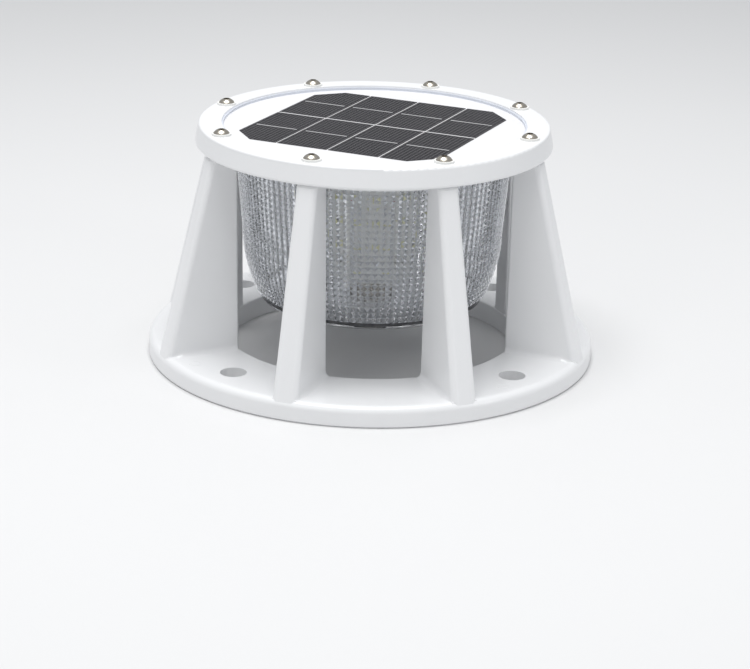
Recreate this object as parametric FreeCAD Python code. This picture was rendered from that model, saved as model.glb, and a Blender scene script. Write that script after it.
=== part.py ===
"""Solar light for the top of a round post: a white ribbed casting with a lid, a prismatic
bowl and a flush solar panel.

Millimetres, +Z up. The origin is the centre of the base ring's underside, -Y is the front.
Every function below builds one sub-part and returns one shape, which may hold several
separate solids where the sub-part is a set of identical pieces.
"""
import FreeCAD, Part
import math
import os

Vec = FreeCAD.Vector
UP = Vec(0, 0, 1)
CENTRE = Vec(0, 0, 0)

# ---- driving dimensions -------------------------------------------------------------------
BASE_R = 130.0            # outer radius of the base ring
OPENING_R = 85.0          # radius of the ring's central opening
BASE_T = 12.0             # thickness of the base ring
BASE_ROUND = 4.0          # rounding of the ring's outer top edge
RIM_BREAK = 1.0           # rounding of the ring's other edges
MOUNT_PCD = 220.0         # circle of the four fixing holes
MOUNT_HOLE_R = 7.5
MOUNT_COUNT = 4

RIB_COUNT = 8
RIB_FIRST = 22.5          # angle of the first rib from +X
RIB_TOP_Z = 125.0
RIB_TOP_R = 101.0         # outer edge of a rib under the lid
RIB_TOP_T = 12.0          # thickness of a rib under the lid
RIB_FOOT_T = 14.6         # thickness of a rib in the ring
RIB_ROUND = 3.5           # rounding of a rib's outer corners
RIB_INNER_ROUND = 1.5
RIB_HEAD_BREAK = 1.4      # slope that breaks a rib's outer edge just under the lid
COVE_R = 3.0              # hollow rounding between a rib and the ring

SEAT_Z = 123.4            # where the bowl's flange and its gasket sit on the casting
SEAT_R = 89.2             # radius of the recess for the flange
SEAT_BORE_R = 80.8
SEAT_RING_R = 90.4
SEAT_RING_T = 2.0

LID_T = 12.0
LID_TOP_Z = RIB_TOP_Z + LID_T
LID_WIDE_R = 102.4        # widest radius, just above the bottom edge
LID_FLAT_R = 99.0         # flat part of the lid's top
LID_DRAFT = 10.5          # slope of the lid's side, degrees
LID_EDGE_R = 1.5
LID_ROOF_T = 2.0
LID_SHOULDER_Z = 127.8    # inner shoulder that presses on the bowl's seal
LID_CAVITY_R = 80.5

PANEL_R = 86.3
PANEL_BED_Z = 133.6       # floor of the panel's recess
PANEL_BEAD_W = 1.0
BACKING_T = 1.0
CELL_T = 0.3
WINDOW_TOP_Z = 136.2
CELL_SIDE = 125.0         # full side of the pseudo-square cell before it was cut
CELL_CORNER = 15.0        # leg of the cell's cut corner
CELL_GAP = 1.1            # gap between columns of cell pieces
CELL_ROW_GAP = 0.9        # gap between rows of cell pieces
CELL_COLUMNS, CELL_ROWS = 4, 2
BUSBAR_W, BUSBAR_T = 0.6, 0.1
BUSBAR_SHORT = 2.3        # how far a busbar stops short of its cell piece's edge
CELL_TURN = -26.0         # turn of the cell about the lid's centre, degrees

SCREW_PCD = 186.0         # circle of the eight lid screws
SCREW_R = 2.5
SCREW_HEAD_R = 4.75
SCREW_HEAD_H = 2.75
SCREW_HEX = 3.0
SCREW_TIP_Z = 113.5
WASHER_R = 5.5
WASHER_T = 1.2
INSERT_R = 3.6
INSERT_BOTTOM_Z = 112.0

BOWL_FLANGE_R = 88.5
BOWL_FLANGE_T = 2.6
BOWL_NECK_R = 79.9        # outer radius of the bowl under its flange
BOWL_WAIST_R = 75.6       # outer radius where the side starts to turn in
BOWL_WAIST_Z = 74.0
BOWL_FLOOR_R = 59.2       # radius of the bowl's flat floor
BOWL_FLOOR_Z = 32.2
BOWL_FOOT_ROUND = 8.0     # rounding between the floor and the side
BOWL_WALL = 2.6
GASKET_T = 0.8
GASKET_BORE_R = 82.0

PLATE_Z = 118.0           # underside of the carrier plate
PLATE_T = 2.0
PLATE_R = 73.0
BOSS_R = 4.5
BOSS_CIRCLE_R = 62.0
BOARD_X, BOARD_Y, BOARD_T = 64.0, 46.0, 1.6
BOARD_Z = 124.0
BOARD_HOLE_X, BOARD_HOLE_Y = 28.0, 19.0
M3_R = 1.5

DRUM_APOTHEM = 26.0       # distance from the axis to a flat of the lamp drum
DRUM_BORE_R = 23.0
DRUM_Z = 48.0
DRUM_FLOOR_T = 2.0
DRUM_FLANGE_R = 42.0
DRUM_SIDES = 8
CELL_R = 9.1              # battery cell
BATTERY_H = 65.0
BATTERY_CIRCLE_R = 11.2
TAB_T = 0.2

BARREL_R = 6.0            # threaded barrel of the push switch
BARREL_BORE_R = 4.05
BEZEL_R = 9.0
BEZEL_Z = 29.7
BUTTON_R = 4.0
BUTTON_Z = 27.2


# ---- helpers ------------------------------------------------------------------------------
def cylinder(radius, bottom, top, x=0.0, y=0.0):
    """Upright cylinder between two heights."""
    return Part.makeCylinder(radius, top - bottom, Vec(x, y, bottom))


def tube(outer, inner, bottom, top, x=0.0, y=0.0):
    """Upright tube between two heights."""
    return cylinder(outer, bottom, top, x, y).cut(cylinder(inner, bottom - 1, top + 1, x, y))


def block(size_x, size_y, bottom, top, x=0.0, y=0.0):
    """Upright block centred on x and y."""
    corner = Vec(x - size_x / 2, y - size_y / 2, bottom)
    return Part.makeBox(size_x, size_y, top - bottom, corner)


def polar(radius, degrees):
    """Point on a circle about the axis."""
    angle = math.radians(degrees)
    return radius * math.cos(angle), radius * math.sin(angle)


def turned(shape, degrees):
    """Copy of a shape turned about the vertical axis."""
    copy = shape.copy()
    copy.rotate(CENTRE, UP, degrees)
    return copy


def around(shape, count, first=0.0):
    """Copies of a shape spaced evenly about the vertical axis."""
    return [turned(shape, first + 360.0 / count * index) for index in range(count)]


def group(solids):
    """One shape that holds separate solids."""
    return Part.makeCompound(solids)


def one(shape):
    """The single solid of a boolean's result."""
    solids = shape.removeSplitter().Solids
    assert len(solids) == 1, len(solids)
    return solids[0]


def section_point(radius, height):
    return Vec(radius, 0, height)


def side(start, end):
    """Straight edge of a turned section, from (radius, height) to (radius, height)."""
    return Part.makeLine(section_point(*start), section_point(*end))


def bend(centre, radius, first, last):
    """Arc edge of a turned section, and its two ends."""
    points = []
    for degrees in (first, (first + last) / 2, last):
        step = polar(radius, degrees)
        points.append((centre[0] + step[0], centre[1] + step[1]))
    edge = Part.Arc(*[section_point(*point) for point in points]).toShape()
    return points[0], edge, points[2]


def turn(edges):
    """Solid made by turning a closed section about the vertical axis."""
    return Part.Face(Part.Wire(edges)).revolve(CENTRE, UP, 360)


def turn_points(points):
    """Solid turned from a section of straight edges."""
    corners = [section_point(*point) for point in points]
    return Part.Face(Part.makePolygon(corners + corners[:1])).revolve(CENTRE, UP, 360)


# ---- the casting --------------------------------------------------------------------------
def base_ring():
    """Ring with a broad rounding on its outer top edge."""
    outer, outer_arc, outer_top = bend(
        (BASE_R - BASE_ROUND, BASE_T - BASE_ROUND), BASE_ROUND, 0, 90)
    inner_top, inner_arc, inner = bend(
        (OPENING_R + RIM_BREAK, BASE_T - RIM_BREAK), RIM_BREAK, 90, 180)
    foot = (BASE_R - RIM_BREAK, 0)
    foot_side = (BASE_R, RIM_BREAK)
    edges = [
        side((OPENING_R, 0), foot), side(foot, foot_side), side(foot_side, outer), outer_arc,
        side(outer_top, inner_top), inner_arc, side(inner, (OPENING_R, 0)),
    ]
    return turn(edges)


def rib_section(outer, thickness, height):
    """Level section of a rib along +X, with rounded corners."""
    half = thickness / 2
    inner = OPENING_R + 0.3
    corners = [
        (inner, -half, RIB_INNER_ROUND, 180), (outer, -half, RIB_ROUND, 270),
        (outer, half, RIB_ROUND, 0), (inner, half, RIB_INNER_ROUND, 90),
    ]
    arcs = []
    for x, y, radius, first in corners:
        centre_x = x + radius if x == inner else x - radius
        centre_y = y - math.copysign(radius, y)
        points = []
        for degrees in (first, first + 45, first + 90):
            step = polar(radius, degrees)
            points.append(Vec(centre_x + step[0], centre_y + step[1], height))
        arcs.append(points)
    edges = []
    for index, points in enumerate(arcs):
        edges.append(Part.Arc(*points).toShape())
        edges.append(Part.makeLine(points[2], arcs[(index + 1) % len(arcs)][0]))
    return Part.Wire(edges)


def rib_thickness(height):
    """Thickness of a rib at a height."""
    foot_z = BASE_T - BASE_ROUND
    share = (RIB_TOP_Z - height) / (RIB_TOP_Z - foot_z)
    return RIB_TOP_T + (RIB_FOOT_T - RIB_TOP_T) * share


def rib():
    """Rib whose outer edge runs from the ring's side up to the lid's edge."""
    foot_z = BASE_T - BASE_ROUND
    foot = rib_section(BASE_R - 0.2, RIB_FOOT_T, foot_z)
    neck_z = RIB_TOP_Z - RIB_HEAD_BREAK
    neck = rib_section(RIB_TOP_R + 0.25 * RIB_HEAD_BREAK, rib_thickness(neck_z), neck_z)
    head = rib_section(RIB_TOP_R - RIB_HEAD_BREAK, RIB_TOP_T - 0.4, RIB_TOP_Z)
    return Part.makeLoft([foot, neck, head], True, True)


def cove_section(x, radius, ring_top):
    """Section of the hollow rounding at a rib's foot, across the rib."""
    face = rib_thickness(BASE_T) / 2
    deep = BASE_T - 3
    arc = Part.Arc(
        Vec(x, face + radius, ring_top),
        Vec(x, face + radius * (1 - math.sqrt(0.5)), ring_top + radius * (1 - math.sqrt(0.5))),
        Vec(x, face, ring_top + radius)).toShape()
    outline = [
        Vec(x, face, ring_top + radius), Vec(x, face - 1, ring_top + radius),
        Vec(x, face - 1, deep), Vec(x, face + radius, deep), Vec(x, face + radius, ring_top),
    ]
    edges = [Part.makeLine(first, second) for first, second in zip(outline, outline[1:])]
    return Part.Wire([arc] + edges)


def coves():
    """Hollow roundings on both sides of a rib's foot, fading out on the ring's rim."""
    rim = 128.0
    near = OPENING_R + RIM_BREAK + 0.3
    sections = [
        cove_section(near, COVE_R, BASE_T), cove_section(BASE_R - 10, COVE_R, BASE_T),
        cove_section(rim, 0.6, BASE_T - 0.8),
    ]
    cove = Part.makeLoft(sections, True, True)
    other = cove.mirror(CENTRE, Vec(0, 1, 0))
    return [cove, other]


def base_frame():
    """Base ring, eight ribs and the thin seat ring at their heads, cast in one."""
    pieces = around(rib(), RIB_COUNT, RIB_FIRST)
    for cove in coves():
        pieces += around(cove, RIB_COUNT, RIB_FIRST)
    seat_bottom = SEAT_Z - SEAT_RING_T
    pieces.append(turn_points([
        (SEAT_BORE_R, seat_bottom), (SEAT_RING_R, seat_bottom), (SEAT_RING_R, RIB_TOP_Z),
        (SEAT_R, RIB_TOP_Z), (SEAT_R, SEAT_Z), (SEAT_BORE_R, SEAT_Z),
    ]))
    frame = base_ring().multiFuse(pieces)
    frame = frame.cut(cylinder(SEAT_R, SEAT_Z, RIB_TOP_Z + 1))
    hole = cylinder(MOUNT_HOLE_R, -1, BASE_T + 1, MOUNT_PCD / 2)
    insert = cylinder(INSERT_R, INSERT_BOTTOM_Z, RIB_TOP_Z + 1, SCREW_PCD / 2)
    cuts = around(hole, MOUNT_COUNT, 45) + around(insert, RIB_COUNT, RIB_FIRST)
    return one(frame.cut(cuts))


def rib_inserts():
    """Threaded inserts in the rib heads."""
    insert = tube(INSERT_R, SCREW_R, INSERT_BOTTOM_Z, RIB_TOP_Z, SCREW_PCD / 2)
    return group(around(insert, RIB_COUNT, RIB_FIRST))


# ---- lid and its fastenings ---------------------------------------------------------------
def lid():
    """Cast lid with a recess for the panel, a cavity below and four bosses."""
    slope = math.tan(math.radians(LID_DRAFT))
    wide_z = RIB_TOP_Z + LID_EDGE_R
    shoulder_z = LID_TOP_Z - 1.6
    shoulder_r = LID_WIDE_R - (shoulder_z - wide_z) * slope
    low, low_arc, wide = bend((LID_WIDE_R - LID_EDGE_R, wide_z), LID_EDGE_R, -90, 0)
    top = (LID_FLAT_R, LID_TOP_Z)
    middle = (shoulder_r - 0.45, LID_TOP_Z - 0.4)
    top_arc = Part.Arc(section_point(shoulder_r, shoulder_z), section_point(*middle),
                       section_point(*top)).toShape()
    recess_r = PANEL_R + PANEL_BEAD_W
    roof_z = PANEL_BED_Z - LID_ROOF_T
    corners = [
        top, (recess_r, LID_TOP_Z), (recess_r, PANEL_BED_Z), (0, PANEL_BED_Z), (0, roof_z),
        (LID_CAVITY_R, roof_z), (LID_CAVITY_R, LID_SHOULDER_Z), (SEAT_R, LID_SHOULDER_Z),
        (SEAT_R, RIB_TOP_Z), low,
    ]
    edges = [low_arc, side(wide, (shoulder_r, shoulder_z)), top_arc]
    edges += [side(first, second) for first, second in zip(corners, corners[1:])]
    plate = turn(edges)
    boss = cylinder(BOSS_R, PLATE_Z + PLATE_T, roof_z + 1, BOSS_CIRCLE_R)
    plate = plate.multiFuse(around(boss, 4, 45))
    screw_hole = cylinder(SCREW_R + 0.25, RIB_TOP_Z - 1, LID_TOP_Z + 1, SCREW_PCD / 2)
    tapped = cylinder(M3_R, PLATE_Z, PLATE_Z + PLATE_T + 8, BOSS_CIRCLE_R)
    lead_hole = cylinder(4.0, roof_z - 1, PANEL_BED_Z + 1, 0, 14)
    cuts = around(screw_hole, RIB_COUNT, RIB_FIRST) + around(tapped, 4, 45)
    return one(plate.cut(cuts + [lead_hole]))


def button_head_screw():
    """Domed screw with a hexagon socket, at +X on the screw circle."""
    x = SCREW_PCD / 2
    seat = LID_TOP_Z + WASHER_T
    dome_r = (SCREW_HEAD_R ** 2 + SCREW_HEAD_H ** 2) / (2 * SCREW_HEAD_H)
    ball = Part.makeSphere(dome_r, Vec(x, 0, seat + SCREW_HEAD_H - dome_r))
    head = ball.common(cylinder(SCREW_HEAD_R, seat, seat + SCREW_HEAD_H, x))
    shank = cylinder(SCREW_R, SCREW_TIP_Z, seat + 0.5, x)
    corners = []
    for index in range(7):
        step = polar(SCREW_HEX / math.sqrt(3), 60 * index)
        corners.append(Vec(x + step[0], step[1], seat + SCREW_HEAD_H - 1.6))
    socket = Part.Face(Part.makePolygon(corners)).extrude(Vec(0, 0, 3))
    return one(head.fuse(shank).cut(socket))


def lid_screws():
    """Stainless screws, one over each rib."""
    return group(around(button_head_screw(), RIB_COUNT, RIB_FIRST))


def lid_washers():
    """White washers under the screw heads."""
    washer = tube(WASHER_R, SCREW_R + 0.1, LID_TOP_Z, LID_TOP_Z + WASHER_T, SCREW_PCD / 2)
    return group(around(washer, RIB_COUNT, RIB_FIRST))


# ---- bowl and seals -----------------------------------------------------------------------
def bowl_arcs(inset):
    """The bowl's turned-in side as two tangent arcs, offset inwards: a tight one at the
    floor's edge and a wide one up to the waist. Gives its low end, edges and high end."""
    rise = BOWL_WAIST_Z - BOWL_FLOOR_Z - BOWL_FOOT_ROUND
    run = BOWL_WAIST_R - BOWL_FLOOR_R - BOWL_FOOT_ROUND
    excess = (run ** 2 + rise ** 2) / (2 * run)
    meet = math.degrees(math.asin(rise / excess))
    wide_r = BOWL_FOOT_ROUND + excess
    low, foot, _ = bend((BOWL_FLOOR_R, BOWL_FLOOR_Z + BOWL_FOOT_ROUND),
                        BOWL_FOOT_ROUND - inset, -90, -meet)
    _, flank, high = bend((BOWL_WAIST_R - wide_r, BOWL_WAIST_Z), wide_r - inset, -meet, 0)
    return low, [foot, flank], high


def lens_bowl():
    """Clear bowl with a flat floor, a flange and a hole for the switch."""
    flange_z = SEAT_Z + GASKET_T
    outer_low, outer_arcs, outer_high = bowl_arcs(0)
    inner_low, inner_arcs, inner_high = bowl_arcs(BOWL_WALL)
    floor_top = BOWL_FLOOR_Z + BOWL_WALL
    neck_in = BOWL_NECK_R - BOWL_WALL
    flange_top = flange_z + BOWL_FLANGE_T
    edges = [
        side((BARREL_R, BOWL_FLOOR_Z), outer_low), *outer_arcs,
        side(outer_high, (BOWL_NECK_R, flange_z)),
        side((BOWL_NECK_R, flange_z), (BOWL_FLANGE_R, flange_z)),
        side((BOWL_FLANGE_R, flange_z), (BOWL_FLANGE_R, flange_top)),
        side((BOWL_FLANGE_R, flange_top), (neck_in, flange_top)),
        side((neck_in, flange_top), inner_high), *reversed(inner_arcs),
        side(inner_low, (BARREL_R, floor_top)),
        side((BARREL_R, floor_top), (BARREL_R, BOWL_FLOOR_Z)),
    ]
    return turn(edges)


def flange_gasket():
    """Flat rubber ring under the bowl's flange."""
    return tube(BOWL_FLANGE_R - 0.3, GASKET_BORE_R, SEAT_Z, SEAT_Z + GASKET_T)


def lid_seal():
    """Flat rubber ring between the bowl's flange and the lid's shoulder."""
    flange_top = SEAT_Z + GASKET_T + BOWL_FLANGE_T
    return tube(BOWL_FLANGE_R - 0.3, GASKET_BORE_R, flange_top, LID_SHOULDER_Z)


# ---- solar panel --------------------------------------------------------------------------
def cell_outline(height, thickness):
    """The whole pseudo-square cell before it is cut into pieces."""
    half = CELL_SIDE / 2
    short = half - CELL_CORNER
    corners = []
    for sign_x, sign_y in ((1, 1), (-1, 1), (-1, -1), (1, -1)):
        near = Vec(sign_x * half, sign_y * short, height)
        far = Vec(sign_x * short, sign_y * half, height)
        corners += [near, far] if sign_x * sign_y > 0 else [far, near]
    outline = Part.Face(Part.makePolygon(corners + corners[:1]))
    return turned(outline.extrude(Vec(0, 0, thickness)), CELL_TURN)


def cell_places():
    """Centres of the cell pieces before the cell is turned, and the pieces' pitches."""
    pitch_x = CELL_SIDE / CELL_COLUMNS
    pitch_y = CELL_SIDE / CELL_ROWS
    places = []
    for column in range(CELL_COLUMNS):
        for row in range(CELL_ROWS):
            x = (column - (CELL_COLUMNS - 1) / 2) * pitch_x
            places.append((x, (row - (CELL_ROWS - 1) / 2) * pitch_y))
    return places, pitch_x, pitch_y


def solar_cells():
    """The pieces of one cell, laid in columns and rows a little apart."""
    bottom = PANEL_BED_Z + BACKING_T
    whole = cell_outline(bottom, CELL_T)
    places, pitch_x, pitch_y = cell_places()
    pieces = []
    for x, y in places:
        tile = block(pitch_x - CELL_GAP, pitch_y - CELL_ROW_GAP, bottom - 1, bottom + 1, x, y)
        pieces.append(one(whole.common(turned(tile, CELL_TURN))))
    return group(pieces)


def cell_busbars():
    """Silver busbar across the middle of each cell piece."""
    bottom = PANEL_BED_Z + BACKING_T + CELL_T
    places, pitch_x, _ = cell_places()
    length = pitch_x - CELL_GAP - 2 * BUSBAR_SHORT
    bars = []
    for x, y in places:
        bars.append(turned(block(length, BUSBAR_W, bottom, bottom + BUSBAR_T, x, y), CELL_TURN))
    return group(bars)


def panel_backing():
    """White sheet behind the cells, with a notch for the leads."""
    sheet = cylinder(PANEL_R, PANEL_BED_Z, PANEL_BED_Z + BACKING_T)
    leads = [cylinder(0.7, PANEL_BED_Z - 1, PANEL_BED_Z + 0.5, x, 14) for x in (-1.5, 1.5)]
    return one(sheet.cut(leads))


def panel_window():
    """Clear cast sheet over the cells, hollowed where they lie."""
    bottom = PANEL_BED_Z + BACKING_T
    sheet = cylinder(PANEL_R, bottom, WINDOW_TOP_Z)
    return one(sheet.cut(cell_outline(bottom - 1, 1 + CELL_T + BUSBAR_T)))


def panel_bead():
    """Bead of sealant round the panel."""
    return tube(PANEL_R + PANEL_BEAD_W, PANEL_R, PANEL_BED_Z, WINDOW_TOP_Z - 0.2)


def panel_leads():
    """Two leads from the panel down to the board."""
    return group([cylinder(0.7, BOARD_Z + BOARD_T, PANEL_BED_Z + 0.5, x, 14) for x in (-1.5, 1.5)])


def lead_grommet():
    """Rubber grommet for the panel's leads in the lid's roof."""
    roof_z = PANEL_BED_Z - LID_ROOF_T
    plug = cylinder(4.0, roof_z - 0.8, PANEL_BED_Z, 0, 14)
    plug = plug.fuse(cylinder(5.5, roof_z - 0.8, roof_z, 0, 14))
    return one(plug.cut([cylinder(0.7, roof_z - 2, PANEL_BED_Z + 1, x, 14) for x in (-1.5, 1.5)]))


# ---- carrier plate and control board --------------------------------------------------------
def carrier_plate():
    """Aluminium plate that carries the lamp drum, the battery and the board."""
    top = PLATE_Z + PLATE_T
    plate = cylinder(PLATE_R, PLATE_Z, top)
    holes = around(cylinder(M3_R + 0.2, PLATE_Z - 1, top + 1, BOSS_CIRCLE_R), 4, 45)
    holes += around(cylinder(M3_R, PLATE_Z - 1, top + 1, 37), 4, 45)
    holes += [cylinder(1.2, PLATE_Z - 1, top + 1, x, y) for x, y in board_corners()]
    holes += [cylinder(7, PLATE_Z - 1, top + 1)]
    holes += [cylinder(1.5, PLATE_Z - 1, top + 1, x) for x in (-29.5, 29.5)]
    return one(plate.cut(holes))


def pan_screw(x, head_bottom, head_top, head_r, shank_r, shank_end):
    """Plain pan-head screw on a vertical axis at +X."""
    head = cylinder(head_r, head_bottom, head_top, x)
    low, high = sorted((shank_end, head_top if shank_end < head_bottom else head_bottom))
    return one(head.fuse(cylinder(shank_r, low, high, x)))


def carrier_screws():
    """Screws that hold the carrier plate to the lid's bosses."""
    screw = pan_screw(BOSS_CIRCLE_R, PLATE_Z - 2.2, PLATE_Z, 2.8, M3_R, PLATE_Z + PLATE_T + 7)
    return group(around(screw, 4, 45))


def board_corners():
    """Places of the board's four screws."""
    return [(sx * BOARD_HOLE_X, sy * BOARD_HOLE_Y) for sx in (-1, 1) for sy in (-1, 1)]


def control_board():
    """Circuit board of the charge and lamp control."""
    board = block(BOARD_X, BOARD_Y, BOARD_Z, BOARD_Z + BOARD_T)
    holes = [cylinder(1.3, BOARD_Z - 1, BOARD_Z + BOARD_T + 1, x, y) for x, y in board_corners()]
    return one(board.cut(holes))


def board_spacers():
    """Nylon spacers between the plate and the board."""
    return group([tube(2.6, 1.3, PLATE_Z + PLATE_T, BOARD_Z, x, y) for x, y in board_corners()])


def board_screws():
    """Screws through the board and its spacers into the plate."""
    screws = []
    top = BOARD_Z + BOARD_T
    for x, y in board_corners():
        head = cylinder(2.3, top, top + 1.4, x, y)
        screws.append(one(head.fuse(cylinder(1.2, PLATE_Z + 0.3, top + 0.5, x, y))))
    return group(screws)


def board_chips():
    """Black integrated circuits and power transistors."""
    top = BOARD_Z + BOARD_T
    places = [(-14, -8, 8, 6, 1.6), (-2, -9, 5, 4, 1.4), (12, 5, 6.6, 6.1, 2.3), (-12, 6, 5, 4, 1.4)]
    return group([block(sx, sy, top, top + high, x, y) for x, y, sx, sy, high in places])


def board_inductor():
    """Wound choke of the charger."""
    top = BOARD_Z + BOARD_T
    choke = block(8, 8, top, top + 4, 12, -9)
    return one(choke.cut(tube(3.6, 3.1, top + 3.6, top + 5, 12, -9)))


def board_capacitors():
    """Can capacitors, standing on the board."""
    top = BOARD_Z + BOARD_T
    return group([cylinder(3.15, top, top + 5.2, x, y) for x, y in ((-22.5, 8), (-22.5, -9), (22, -3))])


def board_connectors():
    """White sockets for the lamp and battery leads."""
    top = BOARD_Z + BOARD_T
    return group([block(10, 5, top, top + 4.6, x, 17) for x in (-14, 14)])


# ---- lamp drum ----------------------------------------------------------------------------
def lamp_drum():
    """Eight-sided drum that cools the lamp strips and holds the battery."""
    corner_r = DRUM_APOTHEM / math.cos(math.pi / DRUM_SIDES)
    corners = []
    for index in range(DRUM_SIDES + 1):
        x, y = polar(corner_r, 360.0 / DRUM_SIDES * (index + 0.5))
        corners.append(Vec(x, y, DRUM_Z))
    drum = Part.Face(Part.makePolygon(corners)).extrude(Vec(0, 0, PLATE_Z - DRUM_Z))
    drum = drum.fuse(cylinder(DRUM_FLANGE_R, PLATE_Z - 2, PLATE_Z))
    cuts = [cylinder(DRUM_BORE_R, DRUM_Z + DRUM_FLOOR_T, PLATE_Z + 1), cylinder(2, DRUM_Z - 1, DRUM_Z + 3)]
    cuts += around(cylinder(M3_R + 0.1, PLATE_Z - 3, PLATE_Z + 1, 37), 4, 45)
    cuts += [cylinder(1.5, PLATE_Z - 3, PLATE_Z + 1, x) for x in (-29.5, 29.5)]
    cuts += [strip_screw_shank(height, turn_by) for height, turn_by in strip_screw_places()]
    return one(drum.cut(cuts))


def drum_screws():
    """Screws through the drum's flange into the carrier plate."""
    screw = pan_screw(37, PLATE_Z - 4.2, PLATE_Z - 2, 2.8, M3_R, PLATE_Z + PLATE_T)
    return group(around(screw, 4, 45))


STRIP_T = 1.0
STRIP_W = 13.0
STRIP_BOTTOM, STRIP_TOP = 58.0, 110.0
STRIP_SCREW_Z = (61.0, 107.0)
LED_Z = (70.0, 84.0, 98.0)


def strip_screw_places():
    """Height and angle of each strip screw."""
    return [(height, 360.0 / DRUM_SIDES * index) for index in range(DRUM_SIDES) for height in STRIP_SCREW_Z]


def radial_pin(radius, start, end, height, degrees):
    """Level cylinder that points away from the axis."""
    return turned(Part.makeCylinder(radius, end - start, Vec(start, 0, height), Vec(1, 0, 0)), degrees)


def strip_screw_shank(height, degrees):
    """Tapped hole of a strip screw in the drum's wall."""
    return radial_pin(0.9, DRUM_BORE_R + 0.5, DRUM_APOTHEM + 1, height, degrees)


def lamp_strips():
    """Narrow circuit boards of the lamp, one on each flat of the drum."""
    strip = block(STRIP_T, STRIP_W, STRIP_BOTTOM, STRIP_TOP, DRUM_APOTHEM + STRIP_T / 2)
    for height in STRIP_SCREW_Z:
        strip = strip.cut(radial_pin(0.9, DRUM_APOTHEM - 1, DRUM_APOTHEM + 2, height, 0))
    return group(around(one(strip), DRUM_SIDES))


def strip_screws():
    """Small screws that hold the lamp strips to the drum."""
    face = DRUM_APOTHEM + STRIP_T
    screws = []
    for height, degrees in strip_screw_places():
        head = radial_pin(1.7, face, face + 1.1, height, degrees)
        screws.append(one(head.fuse(radial_pin(0.9, DRUM_BORE_R + 0.5, face + 0.5, height, degrees))))
    return group(screws)


def lamp_emitters():
    """Light-emitting chips, three on each strip."""
    face = DRUM_APOTHEM + STRIP_T
    chips = []
    for height in LED_Z:
        chip = block(0.9, 3.5, height - 1.75, height + 1.75, face + 0.45)
        chips += around(chip, DRUM_SIDES)
    return group(chips)


def lamp_leads():
    """Two leads from the board down to the lamp strips."""
    return group([cylinder(0.8, STRIP_TOP + 0.2, BOARD_Z, x) for x in (-29.5, 29.5)])


# ---- battery ------------------------------------------------------------------------------
TRAY_Z = DRUM_Z + DRUM_FLOOR_T
TRAY_FLOOR_T = 1.3
CELL_BOTTOM = TRAY_Z + TRAY_FLOOR_T + TAB_T
CELL_TOP = CELL_BOTTOM + BATTERY_H


def battery_places():
    """Axes of the three battery cells."""
    return [polar(BATTERY_CIRCLE_R, 90 + 120 * index) for index in range(3)]


def battery_cells():
    """Three cylindrical cells, each with a raised positive pole."""
    cells = []
    for x, y in battery_places():
        can = cylinder(CELL_R, CELL_BOTTOM, CELL_TOP - 0.8, x, y)
        cells.append(one(can.fuse(cylinder(3.0, CELL_TOP - 1, CELL_TOP, x, y))))
    return group(cells)


def cell_holder(bottom, top):
    """Moulded holder with three round pockets and a channel for leads."""
    body = cylinder(DRUM_BORE_R - 0.2, bottom, top)
    return body.cut([cylinder(CELL_R + 0.1, bottom - 1, top + 1, x, y) for x, y in battery_places()])


def battery_tray():
    """Lower cell holder, with a closed floor."""
    floor = tube(DRUM_BORE_R - 0.2, 1.4, TRAY_Z, TRAY_Z + TRAY_FLOOR_T)
    ring = cell_holder(TRAY_Z + TRAY_FLOOR_T + TAB_T, TRAY_Z + 12)
    rim = tube(DRUM_BORE_R - 0.2, DRUM_BORE_R - 1.5, TRAY_Z + TRAY_FLOOR_T, TRAY_Z + 3)
    tray = floor.multiFuse([ring, rim]).cut(cylinder(1.4, TRAY_Z - 1, TRAY_Z + 13))
    return one(tray)


def battery_collar():
    """Upper cell holder."""
    collar = cell_holder(CELL_TOP - 14, CELL_TOP - 4).cut(cylinder(1.4, TRAY_Z, CELL_TOP))
    return one(collar)


def battery_tabs():
    """Nickel straps that join the cells at both ends."""
    lower = cylinder(DRUM_BORE_R - 2, CELL_BOTTOM - TAB_T, CELL_BOTTOM)
    upper = cylinder(DRUM_BORE_R - 4, CELL_TOP, CELL_TOP + TAB_T)
    return group([one(strap.cut(cylinder(2, DRUM_Z, PLATE_Z))) for strap in (lower, upper)])


def battery_pad():
    """Foam ring that presses the cells down."""
    return tube(DRUM_BORE_R - 0.5, 8.0, CELL_TOP + TAB_T, PLATE_Z)


def battery_leads():
    """Two leads from the cells up to the board."""
    return group([cylinder(0.8, CELL_TOP + TAB_T, BOARD_Z, 0, y) for y in (-5, 5)])


# ---- push switch --------------------------------------------------------------------------
SHOULDER_Z = 33.0
COLLAR_T = 2.0
BARREL_TOP = 43.0
PLUG_Z = 41.5
UPPER_BORE_R = 5.0


def switch_barrel():
    """Threaded barrel with a round bezel under the bowl's floor."""
    barrel = cylinder(BARREL_R, BEZEL_Z, BARREL_TOP)
    bezel_top = BOWL_FLOOR_Z - 1.0
    bezel = turn_points([(3, BEZEL_Z), (BEZEL_R - 0.8, BEZEL_Z), (BEZEL_R, BEZEL_Z + 0.8),
                         (BEZEL_R, bezel_top), (3, bezel_top)])
    bores = [cylinder(BARREL_BORE_R, BEZEL_Z - 1, SHOULDER_Z + 1)]
    bores.append(cylinder(UPPER_BORE_R, SHOULDER_Z, BARREL_TOP + 1))
    return one(barrel.fuse(bezel).cut(bores))


def switch_seal():
    """Rubber washer between the bezel and the bowl's floor."""
    return tube(BEZEL_R - 0.5, BARREL_R, BOWL_FLOOR_Z - 1.0, BOWL_FLOOR_Z)


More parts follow.
